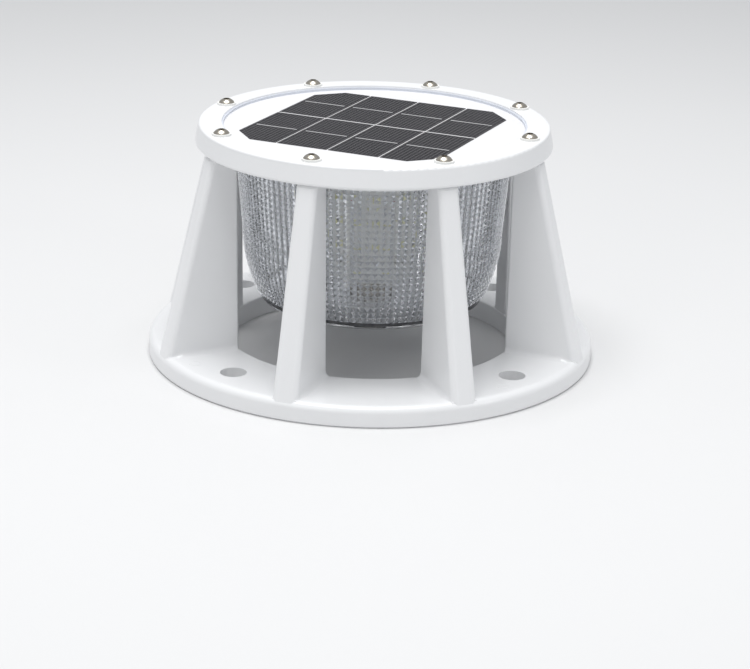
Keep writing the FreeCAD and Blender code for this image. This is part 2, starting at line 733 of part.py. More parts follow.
def switch_nut():
    """Hexagon nut that clamps the switch in the bowl's floor."""
    bottom = BOWL_FLOOR_Z + BOWL_WALL
    corners = []
    for index in range(7):
        x, y = polar(17.0 / math.sqrt(3), 60 * index)
        corners.append(Vec(x, y, bottom))
    nut = Part.Face(Part.makePolygon(corners)).extrude(Vec(0, 0, 3.2))
    return one(nut.cut(cylinder(BARREL_R, bottom - 1, bottom + 5)))


def switch_contacts():
    """Contact block that closes the top of the barrel."""
    block_top = DRUM_Z - 1.5
    plug = cylinder(UPPER_BORE_R, PLUG_Z, BARREL_TOP)
    return one(plug.fuse(cylinder(BARREL_R, BARREL_TOP, block_top)))


def switch_button():
    """Push button with a domed face, a collar and a stem inside the spring."""
    face_round = 0.8
    return turn_points([
        (0, BUTTON_Z), (BUTTON_R - face_round, BUTTON_Z), (BUTTON_R, BUTTON_Z + face_round),
        (BUTTON_R, SHOULDER_Z), (UPPER_BORE_R - 0.06, SHOULDER_Z),
        (UPPER_BORE_R - 0.06, SHOULDER_Z + COLLAR_T), (1.6, SHOULDER_Z + COLLAR_T),
        (1.6, SHOULDER_Z + 5), (0, SHOULDER_Z + 5),
    ])


def button_spring():
    """Return spring round the button's stem."""
    wire_r = 0.35
    mean_r = 3.0
    end_gap = 0.2
    bottom = SHOULDER_Z + COLLAR_T + wire_r + end_gap
    height = PLUG_Z - wire_r - end_gap - bottom
    helix = Part.makeHelix(height / 4, height, mean_r)
    section = Part.Wire(Part.makeCircle(wire_r, Vec(mean_r, 0, 0), Vec(0, 1, 0)))
    coil = Part.Wire(helix.Edges).makePipeShell([section], True, True)
    coil.translate(Vec(0, 0, bottom))
    return coil


def switch_leads():
    """Two leads from the contact block up between the cells to the board."""
    return group([cylinder(0.6, DRUM_Z - 1.5, BOARD_Z, x) for x in (-0.68, 0.68)])


# ---- export -------------------------------------------------------------------------------
BUILDERS = [
    base_frame, rib_inserts, lid, lid_screws, lid_washers, flange_gasket, lens_bowl, lid_seal,
    panel_backing, solar_cells, cell_busbars, panel_window, panel_bead, panel_leads, lead_grommet,
    carrier_plate, carrier_screws, control_board, board_spacers, board_screws, board_chips,
    board_inductor, board_capacitors, board_connectors, lamp_drum, drum_screws, lamp_strips,
    strip_screws, lamp_emitters, lamp_leads, battery_cells, battery_tray, battery_collar,
    battery_tabs, battery_pad, battery_leads, switch_barrel, switch_seal, switch_nut,
    switch_contacts, switch_button, button_spring, switch_leads,
]


def main():
    os.makedirs("parts", exist_ok=True)
    for builder in BUILDERS:
        shape = builder()
        name = builder.__name__
        print(name, shape.isValid(), len(shape.Solids), round(shape.Volume, 1))
        shape.exportStep("parts/" + name + ".step")


main()
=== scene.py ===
"""Looks of a solar post-top light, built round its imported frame.

Sizes held by the classes are millimetres unless a name says otherwise; meshes are metres.
"""

import logging
import math
from collections.abc import Iterable, Sequence
from dataclasses import dataclass, field
from enum import Enum

import bmesh
import bpy
from mathutils import Matrix, Vector


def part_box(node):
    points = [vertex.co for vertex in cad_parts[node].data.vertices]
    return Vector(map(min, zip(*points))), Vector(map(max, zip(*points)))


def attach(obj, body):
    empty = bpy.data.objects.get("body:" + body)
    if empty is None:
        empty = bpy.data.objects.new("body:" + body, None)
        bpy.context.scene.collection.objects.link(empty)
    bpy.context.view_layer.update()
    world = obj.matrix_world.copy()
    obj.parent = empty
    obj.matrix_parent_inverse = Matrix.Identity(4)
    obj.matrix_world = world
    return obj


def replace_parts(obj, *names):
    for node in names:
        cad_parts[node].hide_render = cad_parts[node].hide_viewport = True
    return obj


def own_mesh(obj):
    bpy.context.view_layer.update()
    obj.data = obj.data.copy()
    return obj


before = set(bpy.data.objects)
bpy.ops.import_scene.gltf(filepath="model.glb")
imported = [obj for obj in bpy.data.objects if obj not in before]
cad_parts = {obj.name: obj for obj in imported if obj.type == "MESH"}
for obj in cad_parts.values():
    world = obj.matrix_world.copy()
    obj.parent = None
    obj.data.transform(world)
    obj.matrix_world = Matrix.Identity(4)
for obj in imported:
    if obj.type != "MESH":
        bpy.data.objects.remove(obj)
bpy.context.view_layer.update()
LOG = logging.getLogger("post_light")
MM = 0.001
Colour = tuple[float, float, float]
Section = Sequence[tuple[float, float]]
Socket = bpy.types.NodeSocket
WELD = 0.0001 * MM  # corners closer than this are one corner
CELL_TURN = math.radians(-26.0)  # turn of the cells about the lid's centre


# ---- shader trees ---------------------------------------------------------------------
class Graph:
    """Adds and joins the nodes of one shader tree."""

    def __init__(self, tree: bpy.types.NodeTree) -> None:
        """Keeps the tree that every call adds to."""
        self.tree = tree

    def add(self, kind: str, values: dict | None = None, **settings: object) -> bpy.types.Node:
        """Adds one node.

        Args:
            kind: The node's type name.
            values: Socket name or number to a plain value, or to the socket that feeds it.
            settings: Attributes of the node itself.

        Returns:
            The new node.
        """
        node = self.tree.nodes.new(kind)
        for name, value in settings.items():
            setattr(node, name, value)
        self.feed(node, values or {})
        return node

    def feed(self, node: bpy.types.Node, values: dict) -> None:
        """Joins or sets a node's inputs.

        Args:
            node: The node whose inputs are fed.
            values: Socket name or number to a plain value, or to the socket that feeds it.
        """
        for name, value in values.items():
            if isinstance(value, bpy.types.NodeSocket):
                self.tree.links.new(value, node.inputs[name])
            else:
                node.inputs[name].default_value = value

    def math(self, operation: str, *terms: object) -> Socket:
        """Result of a Math node on sockets or plain numbers."""
        return self.add("ShaderNodeMath", dict(enumerate(terms)), operation=operation).outputs[0]

    def noise(self, vector: Socket, scale: object, detail: float) -> Socket:
        """Fractal noise value at a point."""
        values = {"Vector": vector, "Scale": scale, "Detail": detail}
        return self.add("ShaderNodeTexNoise", values).outputs[0]

    def blend(self, share: object, first: object, second: object) -> Socket:
        """Colour between two colours."""
        values = {0: share, 6: first, 7: second}
        return self.add("ShaderNodeMix", values, data_type="RGBA").outputs[2]

    def remap(self, value: Socket, low: float, high: float) -> Socket:
        """A 0 to 1 value stretched between two limits."""
        values = {"Value": value, "To Min": low, "To Max": high}
        return self.add("ShaderNodeMapRange", values).outputs["Result"]


def rgba(colour: Colour) -> tuple[float, float, float, float]:
    """A colour with full opacity."""
    return (*colour, 1.0)


def shader_group(
    name: str, inputs: dict[str, str], outputs: Iterable[str]
) -> tuple[Graph, dict, dict]:
    """Starts a shader node group.

    Args:
        name: The group's name.
        inputs: Names of the inputs, each with its socket type.
        outputs: Names of the outputs, which are all values.

    Returns:
        The group's graph, its input sockets by name, and its output sockets by name.
    """
    tree = bpy.data.node_groups.new(name, "ShaderNodeTree")
    for label, kind in inputs.items():
        tree.interface.new_socket(label, in_out="INPUT", socket_type=kind)
    for label in outputs:
        tree.interface.new_socket(label, in_out="OUTPUT", socket_type="NodeSocketFloat")
    graph = Graph(tree)
    source = graph.add("NodeGroupInput")
    target = graph.add("NodeGroupOutput")
    return graph, dict(source.outputs.items()), dict(target.inputs.items())


def grain_group() -> bpy.types.NodeTree:
    """Fine grain and broad mottling, shared by every finish.

    Returns:
        The group's tree.
    """
    kinds = {"Vector": "NodeSocketVector", "Grain": "NodeSocketFloat", "Mottle": "NodeSocketFloat"}
    graph, given, wanted = shader_group("surface_grain", kinds, ("Mask", "Height"))
    graph.tree.links.new(graph.noise(given["Vector"], given["Mottle"], 4.0), wanted["Mask"])
    graph.tree.links.new(graph.noise(given["Vector"], given["Grain"], 2.0), wanted["Height"])
    return graph.tree


def line_group() -> bpy.types.NodeTree:
    """Evenly spaced lines across one axis, for fingers, tracks and wound wire.

    Returns:
        The group's tree.
    """
    kinds = {name: "NodeSocketFloat" for name in ("Place", "Pitch", "Width")}
    graph, given, wanted = shader_group("even_lines", kinds, ("Mask",))
    turns = graph.math("DIVIDE", given["Place"], given["Pitch"])
    offset = graph.math("ABSOLUTE", graph.math("SUBTRACT", graph.math("FRACT", turns), 0.5))
    half = graph.math("DIVIDE", graph.math("MULTIPLY", given["Width"], 0.5), given["Pitch"])
    graph.tree.links.new(graph.math("LESS_THAN", offset, half), wanted["Mask"])
    return graph.tree


GRAIN = grain_group()
LINES = line_group()


def bump(graph: Graph, height: Socket, distance: float) -> Socket:
    """Normal of a relief of a given depth in metres."""
    return graph.add("ShaderNodeBump", {"Height": height, "Distance": distance}).outputs[0]


def start_material(name: str) -> tuple[bpy.types.Material, Graph, bpy.types.Node, Socket]:
    """Starts a material.

    Args:
        name: The material's name.

    Returns:
        The material, its graph, its surface shader, and the place on the object.
    """
    material = bpy.data.materials.new(name)
    material.use_nodes = True
    graph = Graph(material.node_tree)
    shader = material.node_tree.nodes["Principled BSDF"]
    return material, graph, shader, graph.add("ShaderNodeTexCoord").outputs["Object"]


def add_grain(graph: Graph, place: Socket, fine: float, broad: float) -> tuple[Socket, Socket]:
    """Adds the shared grain to a material.

    Args:
        graph: The material's graph.
        place: The point that the grain is read at.
        fine: Scale of the fine grain.
        broad: Scale of the mottling.

    Returns:
        The mottling's mask and the grain's height.
    """
    values = {"Vector": place, "Grain": fine, "Mottle": broad}
    outputs = graph.add("ShaderNodeGroup", values, node_tree=GRAIN).outputs
    return outputs["Mask"], outputs["Height"]


def add_lines(graph: Graph, axis: Socket, pitch: float, width: float) -> Socket:
    """Adds even lines to a material.

    Args:
        graph: The material's graph.
        axis: The coordinate that the lines are counted along.
        pitch: Distance between lines.
        width: Width of one line.

    Returns:
        The lines' mask.
    """
    values = {"Place": axis, "Pitch": pitch * MM, "Width": width * MM}
    return graph.add("ShaderNodeGroup", values, node_tree=LINES).outputs["Mask"]


# ---- finishes -------------------------------------------------------------------------
class Pattern(Enum):
    """What is drawn on a finish besides its grain, as the pitch and width of its lines."""

    NONE = (0.0, 0.0)
    TRACKS = (2.4, 0.5)
    WOUND = (0.6, 0.25)


@dataclass(frozen=True)
class Finish:
    """A solid, grained finish."""

    name: str
    light: Colour
    dark: Colour
    roughness: tuple[float, float] = (0.4, 0.5)
    metallic: float = 0.0
    coat: float = 0.0
    coat_roughness: float = 0.06
    grain: float = 900.0
    mottle: float = 25.0
    stretch: tuple[float, float, float] = (1.0, 1.0, 1.0)
    relief: float = 0.00003
    pattern: Pattern = Pattern.NONE
    line: Colour = (0.1, 0.4, 0.18)

    def build(self) -> bpy.types.Material:
        """Makes the material.

        Returns:
            The new material.
        """
        material, graph, shader, place = start_material(self.name)
        drawn = graph.add("ShaderNodeMapping", {"Vector": place, "Scale": self.stretch}).outputs[0]
        mask, height = add_grain(graph, drawn, self.grain, self.mottle)
        colour = graph.blend(mask, rgba(self.dark), rgba(self.light))
        if self.pattern is not Pattern.NONE:
            colour = graph.blend(self.lines(graph, place), colour, rgba(self.line))
        graph.feed(shader, {
            "Base Color": colour,
            "Roughness": graph.remap(mask, *self.roughness),
            "Normal": bump(graph, height, self.relief),
            "Metallic": self.metallic,
            "Coat Weight": self.coat,
            "Coat Roughness": self.coat_roughness,
        })
        return material

    def lines(self, graph: Graph, place: Socket) -> Socket:
        """Lines of the finish's pattern, both ways across it.

        Args:
            graph: The material's graph.
            place: The place on the object.

        Returns:
            The lines' mask.
        """
        axes = graph.add("ShaderNodeSeparateXYZ", {0: place}).outputs
        masks = [add_lines(graph, axis, *self.pattern.value) for axis in axes[:2]]
        return graph.math("MAXIMUM", *masks)


@dataclass(frozen=True)
class ClearFinish:
    """Clear moulded plastic that bends light."""

    name: str
    tint: Colour
    roughness: tuple[float, float]
    index: float = 1.49
    clearness: float = 0.96
    grain: float = 500.0
    mottle: float = 18.0
    tint_share: float = 0.8

    def build(self) -> bpy.types.Material:
        """Makes the material.

        Returns:
            The new material.
        """
        material, graph, shader, place = start_material(self.name)
        mask, _ = add_grain(graph, place, self.grain, self.mottle)
        pale = tuple(1.0 - self.tint_share * (1.0 - part) for part in self.tint)
        graph.feed(shader, {
            "Base Color": graph.blend(mask, rgba(self.tint), rgba(pale)),
            "Roughness": graph.remap(mask, *self.roughness),
            "Transmission Weight": self.clearness,
            "IOR": self.index,
        })
        return material


@dataclass(frozen=True)
class WindowFinish:
    """Thin clear sheet that shows what lies under it and keeps a gloss."""

    name: str
    veil: float
    light: Colour = (1.0, 1.0, 1.0)
    dark: Colour = (0.9, 0.92, 0.95)
    roughness: tuple[float, float] = (0.04, 0.1)
    veil_spread: tuple[float, float] = (0.8, 1.2)
    specular: float = 0.12
    grain: float = 60.0
    mottle: float = 9.0

    def build(self) -> bpy.types.Material:
        """Makes the material.

        Returns:
            The new material.
        """
        material, graph, shader, place = start_material(self.name)
        mask, _ = add_grain(graph, place, self.grain, self.mottle)
        least, most = (share * self.veil for share in self.veil_spread)
        graph.feed(shader, {
            "Base Color": graph.blend(mask, rgba(self.dark), rgba(self.light)),
            "Roughness": graph.remap(mask, *self.roughness),
            "Alpha": graph.remap(mask, least, most),
            "Specular IOR Level": self.specular,
        })
        return material


@dataclass(frozen=True)
class SiliconFinish:
    """Dark solar cell with fine silver fingers that run along its columns."""

    name: str
    turn: float
    pitch: float = 2.4
    finger: float = 0.42
    body: Colour = (0.019, 0.018, 0.02)
    deep: Colour = (0.012, 0.011, 0.015)
    silver: Colour = (0.12, 0.118, 0.122)
    roughness: tuple[float, float] = (0.3, 0.42)
    relief: float = 0.00001
    specular: float = 0.1
    index: float = 1.15
    grain: float = 2500.0
    mottle: float = 22.0

    def build(self) -> bpy.types.Material:
        """Makes the material.

        Returns:
            The new material.
        """
        material, graph, shader, place = start_material(self.name)
        across = graph.add("ShaderNodeMapping", {"Vector": place, "Rotation": (0, 0, -self.turn)})
        axes = graph.add("ShaderNodeSeparateXYZ", {0: across.outputs[0]}).outputs
        fingers = add_lines(graph, axes[0], self.pitch, self.finger)
        mask, height = add_grain(graph, place, self.grain, self.mottle)
        silicon = graph.blend(mask, rgba(self.deep), rgba(self.body))
        graph.feed(shader, {
            "Base Color": graph.blend(fingers, silicon, rgba(self.silver)),
            "Roughness": graph.remap(mask, *self.roughness),
            "Normal": bump(graph, height, self.relief),
            "Specular IOR Level": self.specular,
            "IOR": self.index,
        })
        return material


WHITE_COAT = Finish("white_coat", (0.84, 0.845, 0.85), (0.8, 0.805, 0.815), (0.26, 0.34), coat=0.25,
                    grain=420.0, mottle=14.0, relief=0.00004)
STAINLESS = Finish("stainless", (0.58, 0.54, 0.47), (0.38, 0.35, 0.3), (0.2, 0.32), metallic=1.0,
                   grain=1600.0, mottle=260.0, relief=0.00001)
NYLON = Finish("white_nylon", (0.85, 0.85, 0.83), (0.78, 0.78, 0.76), (0.45, 0.55), mottle=120.0)
RUBBER = Finish("black_rubber", (0.05, 0.05, 0.055), (0.03, 0.03, 0.034), (0.6, 0.75), mottle=60.0)
# The bead round the panel is a real part; its blue-grey colour is painted shade, standing for the shadow in
# the seam between panel and lid.
BEAD_SEAM_SHADE = Finish("grey_sealant", (0.66, 0.69, 0.76), (0.55, 0.58, 0.64), (0.4, 0.55), mottle=70.0)
SHEET_WHITE = Finish("backing_sheet", (0.86, 0.86, 0.87), (0.82, 0.81, 0.82), (0.3, 0.42), coat=0.5,
                     mottle=12.0)
ALUMINIUM = Finish("rolled_aluminium", (0.76, 0.77, 0.79), (0.62, 0.63, 0.65), (0.28, 0.4),
                   metallic=1.0, stretch=(1.0, 14.0, 1.0), grain=300.0)
ZINC = Finish("zinc_plate", (0.66, 0.67, 0.7), (0.5, 0.51, 0.54), (0.25, 0.36), metallic=1.0, mottle=300.0)
BRASS = Finish("turned_brass", (0.78, 0.6, 0.3), (0.6, 0.45, 0.2), (0.22, 0.32), metallic=1.0,
               stretch=(1.0, 1.0, 12.0))
NICKEL = Finish("silver_print", (0.72, 0.72, 0.72), (0.6, 0.6, 0.61), (0.45, 0.6), mottle=200.0)
BLACK_PLASTIC = Finish("black_plastic", (0.045, 0.045, 0.05), (0.025, 0.025, 0.03), (0.4, 0.55), mottle=90.0)
FERRITE = Finish("ferrite", (0.14, 0.14, 0.15), (0.08, 0.08, 0.09), (0.5, 0.7), pattern=Pattern.WOUND,
                 line=(0.45, 0.2, 0.08), mottle=400.0)
BOARD = Finish("solder_mask", (0.02, 0.2, 0.07), (0.012, 0.13, 0.05), (0.25, 0.4), coat=0.4,
               pattern=Pattern.TRACKS, line=(0.05, 0.3, 0.12), mottle=80.0)
DRUM_WHITE = Finish("drum_coat", (0.84, 0.85, 0.83), (0.74, 0.75, 0.73), (0.3, 0.4), mottle=40.0)
STRIP_WHITE = Finish("strip_mask", (0.84, 0.84, 0.8), (0.78, 0.78, 0.74), (0.3, 0.4), mottle=120.0)
PHOSPHOR = Finish("phosphor", (0.82, 0.8, 0.42), (0.74, 0.72, 0.34), (0.3, 0.4), coat=0.6, mottle=500.0)
WRAP = Finish("cell_sleeve", (0.08, 0.25, 0.5), (0.05, 0.18, 0.4), (0.2, 0.3), coat=0.5, mottle=60.0)
FOAM = Finish("foam", (0.1, 0.1, 0.11), (0.05, 0.05, 0.055), (0.85, 0.95), grain=1500.0, relief=0.0003)
LEAD_RED = Finish("lead_sleeve", (0.5, 0.04, 0.03), (0.35, 0.02, 0.02), (0.4, 0.5), mottle=200.0)
SPRING_WIRE = Finish("spring_wire", (0.55, 0.55, 0.57), (0.35, 0.35, 0.37), (0.2, 0.3), metallic=1.0)
BUTTON_GREY = Finish("button_plastic", (0.07, 0.07, 0.075), (0.04, 0.04, 0.045), (0.3, 0.4), mottle=200.0)
BOWL_CLEAR = ClearFinish("bowl_clear", (0.95, 0.965, 0.995), (0.02, 0.06))
WINDOW = WindowFinish("panel_resin", 0.01)
SILICON = SiliconFinish("silicon", CELL_TURN)

DRESS = {
    WHITE_COAT: ("base_frame", "lid"),
    NYLON: ("lid_washers", "board_spacers", "board_connectors"),
    RUBBER: ("flange_gasket", "lid_seal", "lead_grommet", "switch_seal"),
    BEAD_SEAM_SHADE: ("panel_bead",),
    SHEET_WHITE: ("panel_backing",),
    SILICON: ("solar_cells",),
    NICKEL: ("cell_busbars", "battery_tabs"),
    WINDOW: ("panel_window",),
    ALUMINIUM: ("carrier_plate", "board_capacitors"),
    ZINC: ("carrier_screws", "board_screws", "drum_screws", "strip_screws"),
    BRASS: ("rib_inserts",),
    STAINLESS: ("lid_screws", "switch_barrel", "switch_nut"),
    BOARD: ("control_board",),
    BLACK_PLASTIC: ("board_chips", "battery_tray", "battery_collar", "switch_contacts"),
    FERRITE: ("board_inductor",),
    DRUM_WHITE: ("lamp_drum",),
    STRIP_WHITE: ("lamp_strips",),
    PHOSPHOR: ("lamp_emitters",),
    WRAP: ("battery_cells",),
    FOAM: ("battery_pad",),
    LEAD_RED: ("panel_leads", "lamp_leads", "battery_leads", "switch_leads"),
    SPRING_WIRE: ("button_spring",),
    BUTTON_GREY: ("switch_button",),
    BOWL_CLEAR: ("lens_bowl",),
}


def dress_nodes() -> dict[str, bpy.types.Material]:
    """Gives every node of the frame its finish.

    Returns:
        The materials by name, for the pieces that are added.
    """
    materials = {}
    for finish, nodes in DRESS.items():
        material = finish.build()
        materials[finish.name] = material
        for name in nodes:
            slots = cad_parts[name].data.materials
            slots.clear()
            slots.append(material)
        LOG.info("%s dresses %s", finish.name, ", ".join(nodes))
    return materials


# ---- meshes ---------------------------------------------------------------------------
def spun(points: Section, steps: int, closed: bool = True) -> bmesh.types.BMesh:
    """Solid turned about the upright axis.

    Args:
        points: The section's corners as radius and height, in order round it.
        steps: How many faces go round.
        closed: False for a section that starts and ends on the axis.

    Returns:
        The solid, with its faces pointing outwards.
    """
    bm = bmesh.new()
    corners = [bm.verts.new((radius * MM, 0.0, height * MM)) for radius, height in points]
    nexts = corners[1:] + (corners[:1] if closed else [])
    edges = [bm.edges.new(pair) for pair in zip(corners, nexts)]
    bmesh.ops.spin(bm, geom=corners + edges, cent=(0, 0, 0), axis=(0, 0, 1), angle=math.tau,
                   steps=steps, use_merge=True)
    bmesh.ops.remove_doubles(bm, verts=bm.verts, dist=WELD)
    bmesh.ops.recalc_face_normals(bm, faces=bm.faces)
    return bm


def piece(name: str, bm: bmesh.types.BMesh, material: bpy.types.Material, body: str,
          smooth: float = 30.0) -> bpy.types.Object:
    """Turns a finished bmesh into a piece that rides on a body.

    Args:
        name: The piece's name.
        bm: The mesh, which is used up.
        material: Its finish.
        body: The body it rides on.
        smooth: Angle in degrees past which an edge stays sharp.

    Returns:
        The new object.
    """
    mesh = bpy.data.meshes.new(name)
    bm.to_mesh(mesh)
    bm.free()
    mesh.shade_smooth()
    mesh.set_sharp_from_angle(angle=math.radians(smooth))
    mesh.materials.append(material)
    made = bpy.data.objects.new(name, mesh)
    bpy.context.scene.collection.objects.link(made)
    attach(made, body)
    LOG.info("%s: %d faces", name, len(mesh.polygons))
    return made


def join_turned(
    target: bmesh.types.BMesh, part: bmesh.types.BMesh, degrees: float, radius: float
) -> None:
    """Adds a part to a mesh, at a place on a circle about the upright axis.

    Args:
        target: The mesh that is added to.
        part: The part, made on the axis, which is used up.
        degrees: Where on the circle it goes.
        radius: The circle's radius.
    """
    spot = Matrix.Rotation(math.radians(degrees), 4, "Z") @ Matrix.Translation((radius * MM, 0, 0))
    bmesh.ops.transform(part, matrix=spot, verts=part.verts)
    mesh = bpy.data.meshes.new("part")
    part.to_mesh(mesh)
    part.free()
    target.from_mesh(mesh)
    bpy.data.meshes.remove(mesh)


@dataclass
class PrismBowl:
    """Clear bowl with pyramids outside and upright flutes inside."""

    columns: int = 118
    rows: int = 24
    wall: float = 2.6
    prism_height: float = 0.95
    flute_depth: float = 0.8
    neck_r: float = 79.9
    waist_r: float = 75.6
    waist_z: float = 74.0
    floor_r: float = 59.2
    foot_round: float = 8.0
    hole_r: float = 6.0
    flange_t: float = 2.6
    band_top: float = 37.6
    prism_top: float = 122.4
    foot_steps: tuple[float, ...] = (0.02, 0.1, 0.3)
    sharp_angle: float = 12.0
    floor_z: float = field(init=False)
    top_z: float = field(init=False)
    flange_r: float = field(init=False)
    flange_z: float = field(init=False)

    def __post_init__(self) -> None:
        """Takes the bowl's ends from its node's box."""
        low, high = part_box("lens_bowl")
        self.floor_z = low.z / MM
        self.top_z = high.z / MM
        self.flange_r = high.x / MM
        self.flange_z = self.top_z - self.flange_t

    def side_radius(self, height: float) -> float:
        """Outer radius of the side, which is a cone over two tangent arcs.

        Args:
            height: Where on the side.

        Returns:
            The radius.
        """
        rise = self.waist_z - self.floor_z - self.foot_round
        run = self.waist_r - self.floor_r - self.foot_round
        excess = (run ** 2 + rise ** 2) / (2 * run)
        wide = self.foot_round + excess
        meet_z = self.waist_z - wide * rise / excess
        if height >= self.waist_z:
            share = (height - self.waist_z) / (self.flange_z - self.waist_z)
            return self.waist_r + (self.neck_r - self.waist_r) * share
        if height >= meet_z:
            return self.waist_r - wide + math.sqrt(wide ** 2 - (self.waist_z - height) ** 2)
        drop = self.floor_z + self.foot_round - height
        return self.floor_r + math.sqrt(max(0.0, self.foot_round ** 2 - drop ** 2))

    def heights(self) -> list[float]:
        """Heights of the rows' edges, from the band up."""
        step = (self.prism_top - self.band_top) / self.rows
        return [self.band_top + step * row for row in range(self.rows + 1)]

    def section(self) -> list[tuple[float, float]]:
        """The bowl's closed section, up the outside and down the inside.

        Returns:
            The section's corners as radius and height.
        """
        foot = [self.floor_z + self.foot_round * share for share in self.foot_steps]
        outer = [(self.hole_r, self.floor_z), (self.floor_r, self.floor_z)]
        outer += [(self.side_radius(height), height) for height in foot]
        outer += [(self.side_radius(height) - self.prism_height, height) for height in self.heights()]
        outer += [(self.neck_r, self.flange_z), (self.flange_r, self.flange_z)]
        inner = [(self.flange_r, self.top_z), (self.neck_r - self.wall, self.top_z)]
        inner += [(self.side_radius(height) - self.wall, height) for height in reversed(self.heights())]
        floor_top = self.floor_z + self.wall
        inner += [(self.floor_r, floor_top), (self.hole_r, floor_top)]
        return outer + inner

    def prism_faces(self, bm: bmesh.types.BMesh, outside: bool) -> list[bmesh.types.BMFace]:
        """Faces of the rows on one side of the wall.

        Args:
            bm: The bowl.
            outside: True for the outer side.

        Returns:
            The faces.
        """
        found = []
        for face in bm.faces:
            centre = face.calc_center_median()
            height = centre.z / MM
            if self.band_top < height < self.prism_top and abs(face.normal.z) < 0.9:
                outwards = face.normal.x * centre.x + face.normal.y * centre.y > 0
                if outwards == outside:
                    found.append(face)
        return found

    def raise_prisms(self, bm: bmesh.types.BMesh) -> None:
        """Turns each outer face into a low pyramid."""
        faces = self.prism_faces(bm, True)
        bmesh.ops.poke(bm, faces=faces, offset=self.prism_height * MM, center_mode="MEAN")

    def cut_flutes(self, bm: bmesh.types.BMesh) -> None:
        """Folds each inner column into a shallow upright flute.

        Args:
            bm: The bowl.
        """
        faces = self.prism_faces(bm, False)
        level = {edge for face in faces for edge in face.edges
                 if abs(edge.verts[0].co.z - edge.verts[1].co.z) < 0.01 * MM}
        cut = bmesh.ops.subdivide_edges(bm, edges=list(level), cuts=1, use_grid_fill=True)
        for vert in {item for item in cut["geom_inner"] if isinstance(item, bmesh.types.BMVert)}:
            outwards = Vector((vert.co.x, vert.co.y, 0.0)).normalized()
            vert.co += outwards * self.flute_depth * MM

    def build(self, material: bpy.types.Material) -> bpy.types.Object:
        """Makes the bowl, which stands for its plain node.

        Args:
            material: Its finish.

        Returns:
            The bowl.
        """
        bm = spun(self.section(), self.columns)
        self.cut_flutes(bm)
        self.raise_prisms(bm)
        bowl = piece("prism_bowl", bm, material, "root", self.sharp_angle)
        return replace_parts(bowl, "lens_bowl")


@dataclass(frozen=True)
class DomedScrews:
    """Domed hexagon-socket screws round the lid, which stand for their plain node."""

    count: int = 8
    pitch_r: float = 93.0
    first_angle: float = 22.5
    head_r: float = 4.75
    head_h: float = 2.75
    socket_af: float = 3.4
    socket_depth: float = 1.7
    shank_r: float = 2.5
    dome_start: float = 0.3
    dome_steps: int = 8
    lip_rise: float = 0.02
    steps: int = 48

    def section(self, top: float, bottom: float) -> list[tuple[float, float]]:
        """One screw's section, from the socket's floor to the shank's end.

        Args:
            top: Height of the head's top.
            bottom: Height of the shank's end.

        Returns:
            The section's corners as radius and height.
        """
        base = top - self.head_h
        ball = (self.head_r ** 2 + self.head_h ** 2) / (2 * self.head_h)
        lip = self.socket_af / 2
        pit = top - self.socket_depth
        inner, count = lip + self.dome_start, self.dome_steps
        radii = [inner + (self.head_r - inner) * step / count for step in range(count + 1)]
        dome = [(radius, top - ball + math.sqrt(ball ** 2 - radius ** 2)) for radius in radii]
        rim = [(lip, pit), (lip, dome[0][1] + self.lip_rise)]
        return [(0.0, pit), *rim, *dome, (self.shank_r, base), (self.shank_r, bottom), (0.0, bottom)]

    def build(self, material: bpy.types.Material) -> bpy.types.Object:
        """Makes every screw as one piece.

        Args:
            material: Its finish.

        Returns:
            The screws.
        """
        low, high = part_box("lid_screws")
        bm = bmesh.new()
        for number in range(self.count):
            one = spun(self.section(high.z / MM, low.z / MM), self.steps, closed=False)
            self.shape_socket(one)
            join_turned(bm, one, self.first_angle + 360 * number / self.count, self.pitch_r)
        screws = piece("domed_screws", bm, material, "root")
        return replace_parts(screws, "lid_screws")

    def shape_socket(self, bm: bmesh.types.BMesh) -> None:
        """Pushes the socket's round wall out to a hexagon.

        Args:
            bm: One screw, on the axis.
        """
        flat = self.socket_af / 2
        for vert in bm.verts:
            radius = math.hypot(vert.co.x, vert.co.y) / MM
            if abs(radius - flat) < 0.01:
                angle = math.atan2(vert.co.y, vert.co.x) % (math.tau / 6) - math.tau / 12
                vert.co.x /= math.cos(angle)
                vert.co.y /= math.cos(angle)


@dataclass(frozen=True)
class ClearWindow:
    """Clear face of the solar panel, which stands for its plain node."""

    edge: float = 0.25
    over_cells: float = 0.5
    steps: int = 144

    def build(self, material: bpy.types.Material) -> bpy.types.Object:
        """Makes the sheet.

        Args:
            material: Its finish.

        Returns:
            The sheet.
        """
        low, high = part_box("panel_window")
        radius, bottom, top = high.x / MM, low.z / MM + self.over_cells, high.z / MM
        section = [(0.0, top), (radius - self.edge, top), (radius, top - self.edge), (radius, bottom),
                   (0.0, bottom)]
        sheet = piece("panel_face", spun(section, self.steps, closed=False), material, "root")
        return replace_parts(sheet, "panel_window")


@dataclass(frozen=True)
class RowJoint:
    """Pale strip that shows between the two rows of cells."""

    width: float = 0.9
    length: float = 124.0
    top: float = 134.98
    thickness: float = 0.3

    def build(self, material: bpy.types.Material) -> bpy.types.Object:
        """Makes the strip.

        Args:
            material: Its finish.

        Returns:
            The strip.
        """
        bm = bmesh.new()
        size = Matrix.Diagonal((self.length * MM, self.width * MM, self.thickness * MM, 1.0))
        lift = Matrix.Translation((0, 0, (self.top - self.thickness / 2) * MM))
        bmesh.ops.create_cube(bm, size=1.0, matrix=Matrix.Rotation(CELL_TURN, 4, "Z") @ lift @ size)
        return piece("row_joint", bm, material, "root")


